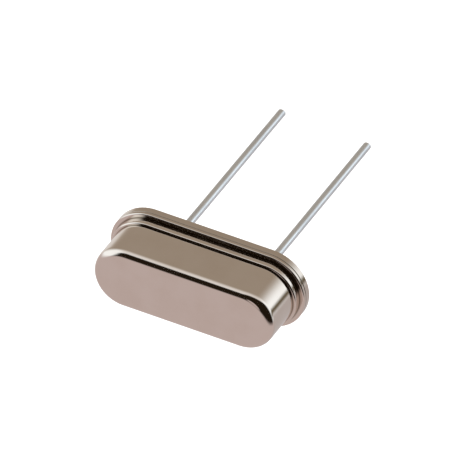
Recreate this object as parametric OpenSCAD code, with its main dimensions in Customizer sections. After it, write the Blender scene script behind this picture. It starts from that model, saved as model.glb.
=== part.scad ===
// Low-profile quartz crystal in a welded metal can, with two straight wire leads.
// The origin is on the seating plane, midway between the leads. +Z points up through
// the can, the leads run down -Z, and X is the long axis of the can.

/* [Can] */
// Length of the can over its straight wall
can_l = 9.85; // [8.9:0.05:11.85]
// Width of the can over its straight wall, which is also the diameter of its round ends
can_w = 3.45; // [3.1:0.05:4.14]
// Height of the whole can above the seating plane
can_h = 3.5; // [2.9:0.05:4.2]
// Thickness of the can's sheet metal
can_sheet = 0.22; // [0.18:0.01:0.26]
// Outer radius of the can's top edge
can_top_r = 0.43; // [0.35:0.01:0.6]

/* [Shoulder] */
// How far the shoulder stands out from the can's wall
shoulder_out = 0.15; // [0.12:0.01:0.18]
// Height of the shoulder's top above the seating plane
shoulder_h = 1.1; // [1:0.01:1.32]
// Radius of the shoulder's top edge
shoulder_r = 0.07; // [0.05:0.01:0.09]
// Radius of the small inside corners at the shoulder's top and foot
inside_r = 0.03; // [0.02:0.01:0.05]

/* [Weld flange] */
// How far the weld flange stands out from the shoulder
flange_out = 0.25; // [0.2:0.01:0.3]
// Thickness of the header's half of the flange
header_flange_t = 0.42; // [0.35:0.01:0.5]
// Radius of the flange's outer edges, above and below
flange_edge_r = 0.08; // [0.05:0.01:0.1]

/* [Header] */
// Side clearance between the header's raised centre and the can's shoulder
header_side_gap = 0.05; // [0.02:0.01:0.1]
// Clearance between the top of the raised centre and the inside of the shoulder
header_top_gap = 0.03; // [0.02:0.01:0.08]
// Radius of the raised centre's top edge
header_top_r = 0.1; // [0.05:0.01:0.14]
// Width of the flat seating ring that is left around the recess underneath
seat_ring_w = 0.75; // [0.6:0.05:0.9]
// Depth of the oval recess underneath
recess_depth = 0.2; // [0.1:0.01:0.25]

/* [Leads and glass] */
// Distance between the centres of the two leads
lead_pitch = 4.88; // [4.07:0.01:5.2]
// Diameter of each lead
lead_d = 0.43; // [0.36:0.01:0.52]
// Length of the left lead below the seating plane
left_lead_l = 12.9; // [10:0.1:15.5]
// Length of the right lead below the seating plane
right_lead_l = 12.6; // [10:0.1:15.2]
// Diameter of each glass seal and of the eyelet that holds it
seal_d = 1.2; // [1:0.02:1.44]
// How far the glass creeps along the lead, above and below the eyelet
seal_creep = 0.08; // [0.05:0.01:0.1]
// Diameter of the flattened head on each lead, inside the can
head_d = 0.8; // [0.66:0.02:0.96]
// Thickness of the flattened head
head_t = 0.1; // [0.08:0.01:0.14]
// How much the wire's radius swells towards its head, above the seating plane
root_swell = 0.02; // [0.01:0.005:0.03]

/* [Crystal] */
// Length of the quartz strip
quartz_l = 7.7; // [6.4:0.05:7.9]
// Width of the quartz strip
quartz_w = 1.9; // [1.6:0.05:2.1]
// Thickness of the quartz strip
quartz_t = 0.15; // [0.12:0.01:0.18]
// Thickness of each electrode film
film_t = 0.02; // [0.01:0.005:0.024]
// Length of the electrode's main field
electrode_l = 4; // [3.3:0.1:4.8]
// Margin between the electrode's main field and the strip's long edges
electrode_margin = 0.2; // [0.1:0.05:0.3]
// Width of the electrode's tab, which runs out to one end of the strip
electrode_tab_w = 0.7; // [0.5:0.05:0.9]

/* [Support clips] */
// Thickness of the clip's strip metal
clip_t = 0.1; // [0.08:0.01:0.12]
// Width of the clip
clip_w = 1.1; // [0.9:0.05:1.32]
// Height of the clip's riser, from the lead's head to the top of its shelf
clip_rise = 0.95; // [0.8:0.01:1.15]
// Length of the shelf that lies under the strip's end
shelf_l = 0.8; // [0.6:0.05:0.95]
// Clearance between the strip's end and the clip's end stop
stop_gap = 0.06; // [0.04:0.01:0.08]
// Height of the end stop above the shelf
stop_h = 0.3; // [0.24:0.01:0.36]
// Radius of the dab of conductive adhesive
dab_r = 0.45; // [0.37:0.01:0.54]
// Height of the dab above the strip's upper face
dab_over = 0.12; // [0.1:0.01:0.15]

/* [Hidden] */
$fn = 96;
LEFT = -1;
RIGHT = 1;
NICKEL = [0.71, 0.65, 0.60];
TINNED = [0.78, 0.77, 0.75];
GLASS = [0.30, 0.36, 0.33];
SILVER = [0.86, 0.86, 0.84];
QUARTZ = [0.88, 0.91, 0.92];
ADHESIVE = [0.55, 0.54, 0.52];
// The can, its shoulder and its flange share one spine, a line along X. Each outline is
// that line, swelled by one of these radii.
spine_l = can_l - can_w;
can_r = can_w / 2;
can_inner_r = can_r - can_sheet;
shoulder_outer_r = can_r + shoulder_out;
shoulder_inner_r = shoulder_outer_r - can_sheet;
shoulder_inner_h = shoulder_h - can_sheet;
flange_r = shoulder_outer_r + flange_out;
flange_h = header_flange_t + can_sheet;
header_r = shoulder_inner_r - header_side_gap;
header_h = shoulder_inner_h - header_top_gap;
recess_r = flange_r - flange_edge_r - seat_ring_w;
lead_x = lead_pitch / 2;
head_z = header_h + seal_creep;
clip_z = head_z + head_t;
shelf_z = clip_z + clip_rise;
quartz_z = shelf_z + film_t;
shelf_end = quartz_l / 2 + stop_gap + clip_t;
riser_x = shelf_end - clip_t - shelf_l;
// How far a cutting shape runs past the face that it cuts
over = 1;

// Sweeps a section around the spine. The section's x is the distance from the spine.
module around_spine() {
    for (side = [0, 180])
        rotate([0, 0, side]) {
            translate([-spine_l / 2, 0, 0])
                rotate([90, 0, 90])
                    linear_extrude(spine_l) children();
            translate([spine_l / 2, 0, 0])
                rotate([0, 0, -90])
                    rotate_extrude(angle = 180) children();
        }
}

// A quarter of a disc, in the corner where both coordinates are positive.
module quarter(r) {
    intersection() {
        circle(r);
        square(r);
    }
}

// A band of section from the spine out to r, between two heights, with its upper outer
// corner rounded to top_r.
module band(r, z0, z1, top_r) {
    translate([0, z0]) square([r - top_r, z1 - z0]);
    translate([0, z0]) square([r, z1 - z0 - top_r]);
    translate([r - top_r, z1 - top_r]) quarter(top_r);
}

// A fillet in the inside corner between a wall at x and a floor at z.
module inside_corner(x, z, r) {
    difference() {
        translate([x - r, z - r]) square(2 * r);
        translate([x + r, z + r]) circle(r);
        translate([x, z + r]) square(2 * r);
        translate([x + r, z]) square(2 * r);
    }
}

// The pressed can: a flat top, one wall, a small shoulder and the upper weld flange.
module cap_section() {
    difference() {
        union() {
            band(can_r, header_flange_t, can_h, can_top_r);
            band(shoulder_outer_r, header_flange_t, shoulder_h, shoulder_r);
            band(flange_r, header_flange_t, flange_h, flange_edge_r);
            inside_corner(can_r, shoulder_h, min(inside_r, shoulder_out - shoulder_r));
            inside_corner(shoulder_outer_r, flange_h, inside_r);
        }
        translate([-over, 0])
            band(can_inner_r + over, 0, can_h - can_sheet, can_top_r - can_sheet);
        translate([-over, 0]) square([shoulder_inner_r + over, shoulder_inner_h]);
    }
}

module cap() {
    color(NICKEL) around_spine() cap_section();
}

// The stamped header: the lower weld flange, a raised centre that locates the can, an
// oval recess underneath, and two eyelets for the glass.
module base_section() {
    difference() {
        union() {
            translate([0, header_flange_t]) mirror([0, 1])
                band(flange_r, 0, header_flange_t, flange_edge_r);
            band(header_r, 0, header_h, header_top_r);
        }
        translate([-over, -over]) square([recess_r + over, recess_depth + over]);
    }
}

module base() {
    color(NICKEL) difference() {
        around_spine() base_section();
        for (side = [LEFT, RIGHT])
            translate([side * lead_x, 0, -over]) cylinder(d = seal_d, h = header_h + 2 * over);
    }
}

// A glass bead fused between the eyelet and the lead. It creeps a little way along the
// lead at both ends, so each end is hollow around the lead.
module glass_seal(side) {
    color(GLASS) difference() {
        translate([side * lead_x, 0, 0]) rotate_extrude() difference() {
            translate([0, recess_depth - seal_creep])
                square([seal_d / 2, header_h - recess_depth + 2 * seal_creep]);
            seal_hollow(recess_depth, -1);
            seal_hollow(header_h, 1);
        }
        lead(side, over);
    }
}

// The hollow's arc runs from the eyelet's edge, level with the metal, to the lead, where
// the glass stands seal_creep proud.
module seal_hollow(z, way) {
    run = (seal_d - lead_d) / 2;
    arc_r = (run * run + seal_creep * seal_creep) / (2 * seal_creep);
    translate([seal_d / 2, z + way * arc_r]) circle(arc_r, $fn = 4 * $fn);
}

module glass_seal_left() {
    glass_seal(LEFT);
}

module glass_seal_right() {
    glass_seal(RIGHT);
}

// A straight wire below the seating plane. Above it the wire swells slightly through the
// glass, to an end that is flattened into a head for the clip.
module lead(side, length) {
    color(TINNED) translate([side * lead_x, 0, 0]) {
        translate([0, 0, -length]) cylinder(d = lead_d, h = length);
        cylinder(r1 = lead_d / 2, r2 = lead_d / 2 + root_swell, h = head_z);
        translate([0, 0, head_z]) cylinder(d = head_d, h = head_t);
    }
}

module lead_left() {
    lead(LEFT, left_lead_l);
}

module lead_right() {
    lead(RIGHT, right_lead_l);
}

// A folded strip: a foot on the lead's head, a riser, a shelf under the quartz and a
// short end stop.
module clip(side) {
    foot_in = lead_x - head_d / 2;
    color(TINNED) translate([0, side * clip_w / 2, 0]) mirror([side == LEFT ? 1 : 0, 0, 0])
        rotate([90, 0, 0]) translate([0, 0, side == LEFT ? -clip_w : 0])
            linear_extrude(clip_w) polygon([
                [foot_in, clip_z],
                [riser_x, clip_z],
                [riser_x, shelf_z - clip_t],
                [shelf_end, shelf_z - clip_t],
                [shelf_end, shelf_z + stop_h],
                [shelf_end - clip_t, shelf_z + stop_h],
                [shelf_end - clip_t, shelf_z],
                [riser_x - clip_t, shelf_z],
                [riser_x - clip_t, clip_z + clip_t],
                [foot_in, clip_z + clip_t],
            ]);
}

module clip_left() {
    clip(LEFT);
}

module clip_right() {
    clip(RIGHT);
}

// The quartz strip lies flat across the two shelves.
module quartz_blank() {
    color(QUARTZ) translate([-quartz_l / 2, -quartz_w / 2, quartz_z])
        cube([quartz_l, quartz_w, quartz_t]);
}

// A metal film: a main field in the middle and a tab out to one end of the strip.
module electrode(side, z) {
    field_w = quartz_w - 2 * electrode_margin;
    color(SILVER) translate([0, 0, z]) {
        translate([-electrode_l / 2, -field_w / 2, 0]) cube([electrode_l, field_w, film_t]);
        translate([side == LEFT ? -quartz_l / 2 : 0, -electrode_tab_w / 2, 0])
            cube([quartz_l / 2, electrode_tab_w, film_t]);
    }
}

module electrode_upper() {
    electrode(LEFT, quartz_z + quartz_t);
}

module electrode_lower() {
    electrode(RIGHT, quartz_z - film_t);
}

// A dab of conductive adhesive over the strip's end, down to the clip's shelf and out to
// its end stop.
module adhesive(side) {
    dab_x = quartz_l / 2 - dab_r / 2;
    dab_h = film_t + quartz_t + dab_over;
    color(ADHESIVE) difference() {
        mirror([side == LEFT ? 1 : 0, 0, 0]) intersection() {
            translate([dab_x, 0, shelf_z]) cylinder(r = dab_r, h = dab_h);
            translate([dab_x - dab_r, -dab_r, shelf_z])
                cube([shelf_end - clip_t - dab_x + dab_r, 2 * dab_r, dab_h]);
        }
        quartz_blank();
        electrode_upper();
        electrode_lower();
    }
}

module adhesive_left() {
    adhesive(LEFT);
}

module adhesive_right() {
    adhesive(RIGHT);
}

cap();
base();
glass_seal_left();
glass_seal_right();
lead_left();
lead_right();
clip_left();
clip_right();
quartz_blank();
electrode_upper();
electrode_lower();
adhesive_left();
adhesive_right();
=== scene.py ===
"""Looks for the quartz crystal: plated metal, tinned leads, fused glass and the parts inside."""
import math

import bpy
from mathutils import Matrix, Vector
from mathutils.geometry import tessellate_polygon


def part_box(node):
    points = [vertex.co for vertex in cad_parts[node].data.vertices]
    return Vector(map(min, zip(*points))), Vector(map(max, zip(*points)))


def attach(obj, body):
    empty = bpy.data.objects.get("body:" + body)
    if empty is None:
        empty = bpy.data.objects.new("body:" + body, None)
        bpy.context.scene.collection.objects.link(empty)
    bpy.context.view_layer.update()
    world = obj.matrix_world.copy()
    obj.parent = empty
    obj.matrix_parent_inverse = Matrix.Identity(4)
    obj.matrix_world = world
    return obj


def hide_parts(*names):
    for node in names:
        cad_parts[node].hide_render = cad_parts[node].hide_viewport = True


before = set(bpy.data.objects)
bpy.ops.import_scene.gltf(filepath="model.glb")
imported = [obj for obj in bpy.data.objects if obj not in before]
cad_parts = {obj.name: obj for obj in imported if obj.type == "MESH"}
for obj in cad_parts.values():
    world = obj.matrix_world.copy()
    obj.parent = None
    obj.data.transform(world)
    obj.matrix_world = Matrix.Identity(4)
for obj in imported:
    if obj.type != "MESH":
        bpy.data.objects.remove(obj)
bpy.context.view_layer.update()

MM = 0.001

# --- Sizes in metres. What the frame gives is read from it. ---
rim_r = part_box("cap")[1].y                    # flange, from the can's long centre line
half_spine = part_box("cap")[1].x - rim_r       # half the length of that line
can_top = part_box("cap")[1].z
flange_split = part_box("cap")[0].z             # where the can's flange meets the header's
header_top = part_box("base")[1].z
head_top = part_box("lead_left")[1].z
lead_x = (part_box("lead_right")[0].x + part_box("lead_right")[1].x) / 2
head_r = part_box("lead_right")[1].x - lead_x
seal_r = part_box("glass_seal_right")[1].x - lead_x
lead_tips = {-1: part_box("lead_left")[0].z, 1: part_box("lead_right")[0].z}

# --- Sizes that the frame does not give: the CAD's own, apart from some small edge radii. ---
SHEET = 0.22 * MM           # thickness of the can's sheet
FLANGE_OUT = 0.25 * MM      # how far the flange stands out from the shoulder
SHOULDER_OUT = 0.15 * MM    # how far the shoulder stands out from the can's wall
SHOULDER_R = rim_r - FLANGE_OUT
CAN_R = SHOULDER_R - SHOULDER_OUT
CAN_EDGE = 0.43 * MM        # radius of the can's top edge
SHOULDER_TOP = 1.1 * MM
SHOULDER_EDGE = 0.09 * MM
FLANGE_TOP = flange_split + SHEET
FLANGE_EDGE = 0.08 * MM     # radius of the flange's outer edges
SEAM_EDGE = 0.04 * MM       # radius of the two edges that meet in the seam
HEADER_GAP = 0.05 * MM      # clearance beside the header's raised centre
HEADER_R = SHOULDER_R - SHEET - HEADER_GAP
HEADER_EDGE = 0.1 * MM
SEAT_RING = 0.75 * MM       # width of the flat ring round the recess underneath
RECESS_R = rim_r - FLANGE_EDGE - SEAT_RING
RECESS_DEPTH = 0.2 * MM
RECESS_EDGE = 0.06 * MM
EYELET_EDGE = 0.03 * MM
SEAL_CREEP = 0.08 * MM      # how far the glass climbs along the lead
LEAD_R = 0.215 * MM
ROOT_SWELL = 0.02 * MM      # how much the wire's radius grows up to its head
HEAD_T = 0.1 * MM           # thickness of the lead's flattened head
HEAD_EDGE = 0.03 * MM
TIP_EDGE = 0.035 * MM       # radius of the edge at the lead's tip
TIP_SLANT = 0.12            # rise of the sheared tip across the wire, as a slope

END_STEPS = 72      # faces round each half-circle end of the can
ROUND_STEPS = 64    # faces round a lead or a glass bead
CORNER_STEPS = 9    # faces across each rounded corner
CREEP_STEPS = 12    # faces across the hollow end of a glass bead

PLACES_PER_METRE = 1e9    # corners that round to the same place share a vertex

UP = Vector((0, 0, 1))
DOWN = Vector((0, 0, -1))


# --- Outlines and shells ---
class Shell:
    """Faces with a normal at every corner. Corners that share a place share a vertex."""

    def __init__(self):
        self.index = {}
        self.points = []
        self.faces = []
        self.normals = []

    def vertex(self, p):
        key = tuple(round(v * PLACES_PER_METRE) for v in p)
        if key not in self.index:
            self.index[key] = len(self.points)
            self.points.append(tuple(p))
        return self.index[key]

    def face(self, corners):
        ids, normals = [], []
        for p, n in corners:
            i = self.vertex(p)
            if i not in ids:
                ids.append(i)
                normals.append(n)
        if len(ids) > 2:
            self.faces.append(ids)
            self.normals.extend(normals)

    def sweep(self, rings):
        """Quads between each closed ring of (point, normal) and the next."""
        for a, b in zip(rings, rings[1:]):
            for i in range(len(a)):
                j = (i + 1) % len(a)
                self.face([a[i], a[j], b[j], b[i]])
        return rings

    def flat(self, normal, outer, *holes):
        """A flat face inside the outer ring and outside the holes."""
        loops = [[p for p, _ in ring] for ring in (outer, *holes)]
        points = [p for loop in loops for p in loop]
        for tri in tessellate_polygon(loops):
            a, b, c = (points[i] for i in tri)
            if (b - a).cross(c - a).dot(normal) < 0:
                b, c = c, b
            self.face([(a, normal), (b, normal), (c, normal)])

    def make(self, name):
        mesh = bpy.data.meshes.new(name)
        mesh.from_pydata(self.points, [], self.faces)
        mesh.shade_smooth()
        mesh.normals_split_custom_set([tuple(n) for n in self.normals])
        piece = bpy.data.objects.new(name, mesh)
        bpy.context.scene.collection.objects.link(piece)
        return piece


def outline(*corners):
    """Points (distance, height, nd, nz) along the given (distance, height, radius) corners.
    The open side is on the right of the way along it, and the metal on the left."""
    places = [Vector(c[:2]) for c in corners]
    ways = [(b - a).normalized() for a, b in zip(places, places[1:])]
    ways = [ways[0], *ways, ways[-1]]
    points = []
    for place, (_, _, radius), way_in, way_out in zip(places, corners, ways, ways[1:]):
        normal = Vector((way_in.y, -way_in.x))
        turn = math.atan2(way_in.cross(way_out), way_in.dot(way_out))
        side = 1 if turn > 0 else -1
        start = place - way_in * radius * math.tan(abs(turn) / 2)
        steps = CORNER_STEPS if radius else 1
        for k in range(steps + 1 if turn else 1):
            a = turn * k / steps
            n = Matrix.Rotation(a, 2) @ normal
            p = start + (n - normal) * radius * side
            points.append((p.x, p.y, n.x, n.y))
    return points


def can_ring(d, z, nd, nz):
    """The ring of one outline point swept round the can's long centre line."""
    ring = []
    for side, start in ((1, -90), (-1, 90)):
        for k in range(END_STEPS + 1):
            a = math.radians(start + 180 * k / END_STEPS)
            c, s = math.cos(a), math.sin(a)
            ring.append((Vector((side * half_spine + d * c, d * s, z)), Vector((nd * c, nd * s, nz))))
    return ring


def round_ring(x, d, z, nd, nz):
    """The ring of one outline point turned round the upright axis at x."""
    ring = []
    for k in range(ROUND_STEPS):
        a = 2 * math.pi * k / ROUND_STEPS
        c, s = math.cos(a), math.sin(a)
        ring.append((Vector((x + d * c, d * s, z)), Vector((nd * c, nd * s, nz))))
    return ring


# --- Node helpers ---
class Nodes:
    """Short calls that add shader nodes and link them."""

    def __init__(self, tree):
        self.tree = tree
        tree.nodes.clear()

    def add(self, kind, inputs=None, **settings):
        node = self.tree.nodes.new(kind)
        for name, value in settings.items():
            setattr(node, name, value)
        for key, value in (inputs or {}).items():
            if isinstance(value, bpy.types.NodeSocket):
                self.tree.links.new(value, node.inputs[key])
            else:
                node.inputs[key].default_value = value
        return node

    def math(self, operation, *values):
        return self.add("ShaderNodeMath", dict(enumerate(values)), operation=operation).outputs[0]

    def square(self, value):
        return self.math("MULTIPLY", value, value)

    def ramp(self, value, low, high, to_low=0.0, to_high=1.0):
        """A smooth step of value from low to high."""
        inputs = {"Value": value, "From Min": low, "From Max": high, "To Min": to_low, "To Max": to_high}
        return self.add("ShaderNodeMapRange", inputs, interpolation_type="SMOOTHSTEP").outputs[0]

    def mix(self, share, a, b):
        node = self.add("ShaderNodeMix", {"Factor": share}, data_type="RGBA")
        for socket, value in ((node.inputs[6], a), (node.inputs[7], b)):
            if isinstance(value, bpy.types.NodeSocket):
                self.tree.links.new(value, socket)
            else:
                socket.default_value = (*value, 1)
        return node.outputs[2]

    def dot(self, vector, direction):
        inputs = {0: vector, 1: Vector(direction).normalized()}
        return self.add("ShaderNodeVectorMath", inputs, operation="DOT_PRODUCT").outputs["Value"]

    def noise(self, vector, size, detail=2.0, stretch=(1, 1, 1)):
        """Noise with features about that size, in metres, longer where stretch is more than 1."""
        scale = tuple(1 / (size * s) for s in stretch)
        placed = self.add("ShaderNodeMapping", {"Vector": vector, "Scale": scale}).outputs[0]
        return self.add("ShaderNodeTexNoise", {"Vector": placed, "Scale": 1.0, "Detail": detail}).outputs[0]


def new_material(name):
    material = bpy.data.materials.new(name)
    material.use_nodes = True
    nodes = Nodes(material.node_tree)
    return material, nodes, nodes.add("ShaderNodeTexCoord").outputs["Object"]


def finish_material(nodes, inputs):
    shader = nodes.add("ShaderNodeBsdfPrincipled", inputs).outputs[0]
    nodes.add("ShaderNodeOutputMaterial", {"Surface": shader})


# --- Materials ---
def corner_shade(nodes, distance, height, corner_r, corner_z, reach):
    """How much painted shade darkens the metal this near to the inside corner that runs round the can."""
    across = nodes.math("SUBTRACT", distance, corner_r)
    above = nodes.math("SUBTRACT", height, corner_z)
    gap = nodes.math("SQRT", nodes.math("ADD", nodes.square(across), nodes.square(above)))
    return nodes.ramp(gap, reach, 0.0)


def nickel_plate():
    """Bright nickel on drawn sheet: a warm grey with fine grain and soft smudges. It is duller
    along the welded flange and dark in the seam, and painted shade darkens the shoulder's inside corners."""
    bright, smudged = (0.72, 0.65, 0.585), (0.695, 0.62, 0.55)
    # The darkest colour is painted shade in the shoulder's inside corners, and also the seam's dark colour.
    welded, shade_and_seam_dark = (0.63, 0.56, 0.49), (0.20, 0.16, 0.11)
    shoulder_reach, flange_reach, seam_reach = 0.06 * MM, 0.09 * MM, 0.05 * MM
    most_weld = most_darkening = 0.7
    material, nodes, place = new_material("nickel_plate")
    smudge = nodes.noise(place, 1.6 * MM, 3)
    grain = nodes.noise(place, 0.12 * MM, 3)
    x, y, height = nodes.add("ShaderNodeSeparateXYZ", {"Vector": place}).outputs
    past_spine = nodes.math("SUBTRACT", nodes.math("ABSOLUTE", x), half_spine)
    past_spine = nodes.math("MAXIMUM", past_spine, 0.0)
    distance = nodes.math("SQRT", nodes.math("ADD", nodes.square(past_spine), nodes.square(y)))
    # Painted shade: darker towards the shoulder's two inside corners, where shade falls; the seam is
    # darkened too.
    corners = nodes.math(
        "MAXIMUM",
        corner_shade(nodes, distance, height, CAN_R, SHOULDER_TOP, shoulder_reach),
        corner_shade(nodes, distance, height, SHOULDER_R, FLANGE_TOP, flange_reach),
    )
    from_seam = nodes.math("ABSOLUTE", nodes.math("SUBTRACT", height, flange_split))
    on_flange = nodes.math("GREATER_THAN", distance, SHOULDER_R)
    seam = nodes.math("MULTIPLY", nodes.ramp(from_seam, seam_reach, 0.0), on_flange)
    shade_and_seam = nodes.math("MULTIPLY", nodes.math("MAXIMUM", corners, seam), most_darkening)
    weld = nodes.ramp(height, FLANGE_TOP, FLANGE_TOP - FLANGE_EDGE, 0.0, most_weld)

    colour = nodes.mix(nodes.ramp(smudge, 0.35, 0.7), bright, smudged)
    colour = nodes.mix(weld, colour, welded)
    # Painted shade in the inside corners, and the dark seam.
    colour = nodes.mix(shade_and_seam, colour, shade_and_seam_dark)
    roughness = nodes.ramp(smudge, 0.35, 0.7, 0.07, 0.12)
    bump = nodes.add("ShaderNodeBump", {"Strength": 0.15, "Distance": 0.004 * MM, "Height": grain})
    finish_material(nodes, {"Base Color": colour, "Roughness": roughness, "Metallic": 1.0,
                            "Normal": bump.outputs[0]})
    return material


def tinned_wire():
    """Bright tin on drawn wire, with faint lines along it."""
    material, nodes, place = new_material("tinned_wire")
    drawn = nodes.noise(place, 0.05 * MM, 2, (1, 1, 40))
    cloud = nodes.noise(place, 0.5 * MM, 2, (1, 1, 3))
    colour = nodes.mix(nodes.ramp(cloud, 0.35, 0.7), (0.80, 0.835, 0.86), (0.73, 0.765, 0.79))
    roughness = nodes.ramp(cloud, 0.3, 0.7, 0.30, 0.38)
    bump = nodes.add("ShaderNodeBump", {"Strength": 0.2, "Distance": 0.003 * MM, "Height": drawn})
    finish_material(nodes, {"Base Color": colour, "Roughness": roughness, "Metallic": 1.0,
                            "Normal": bump.outputs[0]})
    return material


def seal_glass():
    """Dark fused glass, swirled and faintly uneven, under a glossy skin."""
    material, nodes, place = new_material("seal_glass")
    swirl = nodes.noise(place, 0.25 * MM, 4)
    colour = nodes.mix(nodes.ramp(swirl, 0.3, 0.7), (0.018, 0.028, 0.026), (0.045, 0.06, 0.052))
    roughness = nodes.ramp(swirl, 0.3, 0.7, 0.06, 0.14)
    bump = nodes.add("ShaderNodeBump", {"Strength": 0.2, "Distance": 0.01 * MM, "Height": swirl})
    finish_material(nodes, {"Base Color": colour, "Roughness": roughness, "Coat Weight": 0.6,
                            "Coat Roughness": 0.03, "Normal": bump.outputs[0]})
    return material


def spring_metal():
    """Rolled nickel-silver strip, with lines along the way that it was rolled."""
    material, nodes, place = new_material("spring_metal")
    rolled = nodes.noise(place, 0.03 * MM, 3, (30, 1, 30))
    stain = nodes.noise(place, 0.6 * MM, 2)
    colour = nodes.mix(nodes.ramp(stain, 0.35, 0.7), (0.70, 0.68, 0.63), (0.62, 0.59, 0.53))
    roughness = nodes.ramp(rolled, 0.3, 0.7, 0.22, 0.38)
    bump = nodes.add("ShaderNodeBump", {"Strength": 0.3, "Distance": 0.004 * MM, "Height": rolled})
    finish_material(nodes, {"Base Color": colour, "Roughness": roughness, "Metallic": 1.0,
                            "Normal": bump.outputs[0]})
    return material


def quartz():
    """Clear quartz with finely lapped, slightly frosted faces."""
    material, nodes, place = new_material("quartz")
    lapping = nodes.noise(place, 0.02 * MM, 3)
    haze = nodes.noise(place, 0.9 * MM, 2)
    colour = nodes.mix(nodes.ramp(haze, 0.35, 0.7), (0.93, 0.96, 0.97), (0.87, 0.91, 0.93))
    roughness = nodes.ramp(haze, 0.3, 0.7, 0.18, 0.30)
    bump = nodes.add("ShaderNodeBump", {"Strength": 0.2, "Distance": 0.002 * MM, "Height": lapping})
    finish_material(nodes, {"Base Color": colour, "Roughness": roughness, "IOR": 1.544,
                            "Transmission Weight": 0.9, "Normal": bump.outputs[0]})
    return material


def silver_film():
    """Evaporated silver, nearly a mirror, with a faint yellow tarnish in places."""
    material, nodes, place = new_material("silver_film")
    tarnish = nodes.noise(place, 0.7 * MM, 3)
    colour = nodes.mix(nodes.ramp(tarnish, 0.5, 0.8), (0.93, 0.92, 0.90), (0.86, 0.81, 0.70))
    roughness = nodes.ramp(tarnish, 0.3, 0.8, 0.12, 0.26)
    finish_material(nodes, {"Base Color": colour, "Roughness": roughness, "Metallic": 1.0})
    return material


def conductive_adhesive():
    """Cured epoxy full of silver flakes, matt and slightly lumpy."""
    material, nodes, place = new_material("conductive_adhesive")
    flakes = nodes.noise(place, 0.012 * MM, 2)
    lumps = nodes.noise(place, 0.15 * MM, 3)
    colour = nodes.mix(nodes.ramp(flakes, 0.35, 0.65), (0.42, 0.41, 0.39), (0.68, 0.67, 0.64))
    roughness = nodes.ramp(flakes, 0.35, 0.65, 0.62, 0.42)
    bump = nodes.add("ShaderNodeBump", {"Strength": 0.5, "Distance": 0.02 * MM, "Height": lumps})
    finish_material(nodes, {"Base Color": colour, "Roughness": roughness, "Metallic": 0.6,
                            "Normal": bump.outputs[0]})
    return material


MATERIALS = {
    make.__name__: make()
    for make in (nickel_plate, tinned_wire, seal_glass, spring_metal, quartz, silver_film,
                 conductive_adhesive)
}


def dress_inside():
    """Gives their materials to the CAD nodes that stay: all that is sealed inside the can."""
    for node, slot in (("clip", "spring_metal"), ("quartz", "quartz"), ("electrode", "silver_film"),
                       ("adhesive", "conductive_adhesive")):
        for name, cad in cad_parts.items():
            if name.startswith(node):
                cad.data.materials.clear()
                cad.data.materials.append(MATERIALS[slot])


def dress(piece, slot, node):
    """Gives a new piece its material and slot, and puts it in the place of a CAD node."""
    piece.data.materials.append(MATERIALS[slot])
    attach(piece, "root")
    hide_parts(node)


# --- Pieces ---
def make_can():
    """The drawn can: from the flange's seam up outside to the top, then down inside."""
    inner_r, inner_top = CAN_R - SHEET, can_top - SHEET
    step_r, step_top = SHOULDER_R - SHEET, SHOULDER_TOP - SHEET
    inner_edge = CAN_EDGE - SHEET
    outside = outline(
        (step_r, flange_split, 0),
        (rim_r, flange_split, SEAM_EDGE),
        (rim_r, FLANGE_TOP, FLANGE_EDGE),
        (SHOULDER_R, FLANGE_TOP, 0),
        (SHOULDER_R, SHOULDER_TOP, SHOULDER_EDGE),
        (CAN_R, SHOULDER_TOP, 0),
        (CAN_R, can_top, CAN_EDGE),
        (CAN_R - CAN_EDGE, can_top, 0),
    )
    inside = outline(
        (inner_r - inner_edge, inner_top, 0),
        (inner_r, inner_top, inner_edge),
        (inner_r, step_top, 0),
        (step_r, step_top, 0),
        (step_r, flange_split, 0),
    )
    shell = Shell()
    outer = shell.sweep([can_ring(*p) for p in outside])
    inner = shell.sweep([can_ring(*p) for p in inside])
    shell.flat(UP, outer[-1])
    shell.flat(DOWN, inner[0])
    dress(shell.make("can"), "nickel_plate", "cap")


def make_header():
    """The stamped header: recess, seating ring, flange edge, raised centre and two eyelets."""
    section = outline(
        (RECESS_R - RECESS_EDGE, RECESS_DEPTH, 0),
        (RECESS_R, RECESS_DEPTH, RECESS_EDGE),
        (RECESS_R, 0, RECESS_EDGE),
        (rim_r, 0, FLANGE_EDGE),
        (rim_r, flange_split, SEAM_EDGE),
        (HEADER_R, flange_split, 0),
        (HEADER_R, header_top, HEADER_EDGE),
        (HEADER_R - HEADER_EDGE, header_top, 0),
    )
    eyelet = outline(
        (seal_r + EYELET_EDGE, header_top, 0),
        (seal_r, header_top, EYELET_EDGE),
        (seal_r, RECESS_DEPTH, EYELET_EDGE),
        (seal_r + EYELET_EDGE, RECESS_DEPTH, 0),
    )
    shell = Shell()
    body = shell.sweep([can_ring(*p) for p in section])
    holes = [shell.sweep([round_ring(x, *p) for p in eyelet]) for x in (-lead_x, lead_x)]
    shell.flat(DOWN, body[0], *(hole[-1] for hole in holes))
    shell.flat(UP, body[-1], *(hole[0] for hole in holes))
    dress(shell.make("header"), "nickel_plate", "base")


def creep(z, way):
    """The hollow end of a bead, from the eyelet's edge to the lead, as outline points."""
    lead_r = LEAD_R + ROOT_SWELL * z / (head_top - HEAD_T)
    run = seal_r - lead_r
    arc_r = (run * run + SEAL_CREEP * SEAL_CREEP) / (2 * SEAL_CREEP)
    points = []
    for k in range(CREEP_STEPS + 1):
        d = seal_r - run * k / CREEP_STEPS
        drop = arc_r - math.sqrt(arc_r * arc_r - (seal_r - d) ** 2)
        normal = Vector((seal_r - d, way * (arc_r - drop))).normalized()
        points.append((d, z + way * drop, normal.x, normal.y))
    return points


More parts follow.
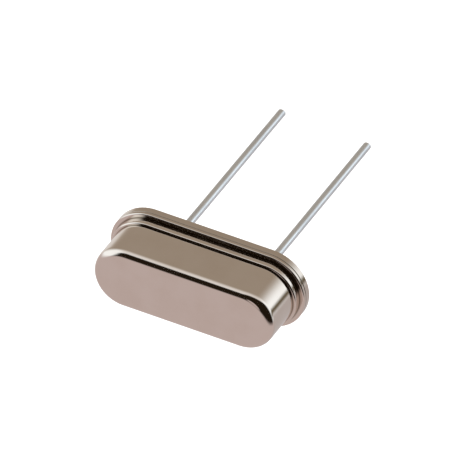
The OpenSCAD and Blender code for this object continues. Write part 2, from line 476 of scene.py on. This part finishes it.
def make_seal(side, name):
    """A glass bead that fills the eyelet and creeps along the lead at both ends."""
    x = side * lead_x
    low = creep(RECESS_DEPTH, -1)[::-1]
    high = creep(header_top, 1)
    wall = [(seal_r, RECESS_DEPTH, 1, 0), (seal_r, header_top, 1, 0)]
    bore = [(high[-1][0], high[-1][1], -1, 0), (low[0][0], low[0][1], -1, 0)]
    shell = Shell()
    shell.sweep([round_ring(x, *p) for p in low + wall + high + bore])
    dress(shell.make(name), "seal_glass", name.replace("bead", "glass_seal"))


def make_lead(side, name):
    """A straight wire with a sheared tip, and a flattened head inside the can."""
    x, tip = side * lead_x, lead_tips[side]
    head_z = head_top - HEAD_T
    section = outline(
        (LEAD_R - TIP_EDGE, tip, 0),
        (LEAD_R, tip, TIP_EDGE),
        (LEAD_R, 0, 0),
        (LEAD_R + ROOT_SWELL, head_z, 0),
        (head_r, head_z, 0),
        (head_r, head_top, HEAD_EDGE),
        (head_r - HEAD_EDGE, head_top, 0),
    )
    shell = Shell()
    rings = [round_ring(x, *p) for p in section]
    tip_top = tip + TIP_EDGE * 1.01     # just above the tip's rounded edge
    for ring in rings:
        for p, _ in ring:
            if p.z < tip_top:
                p.z += TIP_SLANT * (LEAD_R + p.y)
    shell.sweep(rings)
    shell.flat(DOWN, rings[0])
    shell.flat(UP, rings[-1])
    dress(shell.make(name), "tinned_wire", name.replace("wire", "lead"))


dress_inside()
make_can()
make_header()
for side, word in ((-1, "left"), (1, "right")):
    make_seal(side, f"bead_{word}")
    make_lead(side, f"wire_{word}")


# --- Stage ---
CAMERA_AZIMUTH = 152.5      # in degrees, like the next two; 0 looks along +Y
CAMERA_ELEVATION = 46.8
CAMERA_ROLL = 140.2
CAMERA_DISTANCE = 700 * MM
CAMERA_AIM = Vector((0.107, 1.445, -1.249)) * MM
VIEW_WIDTH = 22.41 * MM     # what the picture spans at the aim point
SENSOR = 36.0               # in millimetres, as Blender has it
NEAREST, FARTHEST = 0.01, 100.0     # what the camera sees, in metres

FLOOR_HALF = 3.0            # half the floor's width, in metres
FLOOR_GAP = 0.3 * MM        # between the longer lead's tip and the floor
FLOOR_COLOUR = (0.86, 0.86, 0.855, 1)

# The studio's colours, in linear light.
WALL = (1.27, 1.36, 1.44)
WALL_LOW_LEFT = (0.85, 0.82, 0.79)
DIM_PATCH = (0.42, 0.36, 0.30)
GREY_PANEL = (0.80, 0.76, 0.74)
DARK = (0.018, 0.012, 0.007)
SCREEN = (0.65, 0.56, 0.56)
SCREEN_LOW = (0.58, 0.54, 0.545)
SCREEN_LOW_LEFT = (0.83, 0.80, 0.78)
SCREEN_EDGE = (0.15, 0.12, 0.07)
PLAIN_LIGHT = (1.7, 1.7, 1.7)

# The directions from the part in which its zones lie.
TO_DIM_PATCH = (-0.33, 0.6, -0.72)
TO_GREY_PANEL = (0.1, 0.98, 0.1)
TO_DARK = (0.5, -0.5, 0.7)
FROM_SCREEN = (0.15, 1, 0)


def make_camera():
    data = bpy.data.cameras.new("camera")
    camera = bpy.data.objects.new("camera", data)
    bpy.context.scene.collection.objects.link(camera)
    az, el = math.radians(CAMERA_AZIMUTH), math.radians(CAMERA_ELEVATION)
    back = Vector((math.sin(az) * math.cos(el), -math.cos(az) * math.cos(el), math.sin(el)))
    level = UP.cross(back).normalized()
    rise = back.cross(level)
    roll = math.radians(CAMERA_ROLL)
    up = rise * math.cos(roll) + level * math.sin(roll)
    right = up.cross(back)
    camera.matrix_world = Matrix.Translation(CAMERA_AIM + back * CAMERA_DISTANCE) @ Matrix(
        (right, up, back)).transposed().to_4x4()
    data.sensor_width = SENSOR
    data.lens = SENSOR * CAMERA_DISTANCE / VIEW_WIDTH
    data.clip_start = NEAREST
    data.clip_end = FARTHEST
    bpy.context.scene.camera = camera


def make_floor():
    """A plain pale floor just under the leads. It's open from below, for the views from there."""
    z = min(lead_tips.values()) - FLOOR_GAP
    shell = Shell()
    corners = ((-1, -1), (1, -1), (1, 1), (-1, 1))
    shell.face([(Vector((x * FLOOR_HALF, y * FLOOR_HALF, z)), UP) for x, y in corners])
    floor = shell.make("floor")
    material = bpy.data.materials.new("floor")
    material.use_nodes = True
    nodes = Nodes(material.node_tree)
    matt = nodes.add("ShaderNodeBsdfDiffuse", {"Color": FLOOR_COLOUR}).outputs[0]
    clear = nodes.add("ShaderNodeBsdfTransparent").outputs[0]
    behind = nodes.add("ShaderNodeNewGeometry").outputs["Backfacing"]
    shader = nodes.add("ShaderNodeMixShader", {0: behind, 1: matt, 2: clear}).outputs[0]
    nodes.add("ShaderNodeOutputMaterial", {"Surface": shader})
    floor.data.materials.append(material)
    floor.visible_glossy = False


def low_zones(nodes, x, z):
    """The zones of low directions: all round, on the -X side and on the +X side."""
    low = nodes.ramp(z, -0.2, -0.6)
    low_left = nodes.math("MULTIPLY", low, nodes.ramp(x, -0.3, -0.6))
    low_right = nodes.math("MULTIPLY", low, nodes.ramp(x, 0.2, 0.6))
    return low, low_left, low_right


def wall_colour(nodes, way, low_left):
    """White walls, duller low on the -X side, with a dim patch and a grey panel."""
    dim = nodes.ramp(nodes.dot(way, TO_DIM_PATCH), 0.45, 0.87)
    panel = nodes.ramp(nodes.dot(way, TO_GREY_PANEL), 0.55, 0.95, 0.0, 0.8)
    plain = nodes.mix(dim, nodes.mix(low_left, WALL, WALL_LOW_LEFT), DIM_PATCH)
    return nodes.mix(panel, plain, nodes.mix(dim, GREY_PANEL, DIM_PATCH))


def dark_zone(nodes, way, x, z):
    """The unlit upper part of the room, which the camera is in."""
    zone = nodes.ramp(nodes.dot(way, TO_DARK), -0.22, -0.04)
    zone = nodes.math("MULTIPLY", zone, nodes.ramp(x, -0.7, -0.5))
    return nodes.math("MULTIPLY", zone, nodes.ramp(z, -0.5, -0.1))


def edge_zone(nodes, x, y, low):
    """A dark line low on the +X side, where the screen ends."""
    from_edge = nodes.math("ABSOLUTE", nodes.math("ADD", y, 0.025))
    line = nodes.math("MULTIPLY", nodes.ramp(from_edge, 0.2, 0.02), nodes.ramp(x, 0.3, 0.6))
    return nodes.math("MULTIPLY", line, low)


def off_screen(nodes, way, z, low_right):
    """Where the pale screen doesn't reach. It fills the -Y side, and has a patch overhead."""
    shift = nodes.math("MULTIPLY", low_right, 0.2)
    nearness = nodes.math("SUBTRACT", nodes.dot(way, FROM_SCREEN), shift)
    return nodes.math("MULTIPLY", nodes.ramp(nearness, -0.36, -0.08), nodes.ramp(z, 0.99, 0.975))


def make_world():
    """A studio round the part. Only glossy rays see its zones, so polished metal shows them,
    and everything else has plain white light."""
    world = bpy.data.worlds.new("studio")
    bpy.context.scene.world = world
    world.use_nodes = True
    world.cycles.sampling_method = "NONE"
    nodes = Nodes(world.node_tree)
    way = nodes.add("ShaderNodeTexCoord").outputs["Generated"]
    x, y, z = (nodes.dot(way, axis) for axis in ((1, 0, 0), (0, 1, 0), (0, 0, 1)))
    low, low_left, low_right = low_zones(nodes, x, z)

    room = nodes.mix(dark_zone(nodes, way, x, z), wall_colour(nodes, way, low_left), DARK)
    room = nodes.mix(edge_zone(nodes, x, y, low), room, SCREEN_EDGE)
    screen = nodes.mix(low_left, nodes.mix(low, SCREEN, SCREEN_LOW), SCREEN_LOW_LEFT)
    studio = nodes.mix(off_screen(nodes, way, z, low_right), screen, room)

    glossy = nodes.add("ShaderNodeLightPath").outputs["Is Glossy Ray"]
    seen = nodes.mix(glossy, PLAIN_LIGHT, studio)
    background = nodes.add("ShaderNodeBackground", {"Color": seen}).outputs[0]
    nodes.add("ShaderNodeOutputWorld", {"Surface": background})


make_camera()
make_floor()
make_world()
bpy.context.scene.view_settings.view_transform = "Standard"
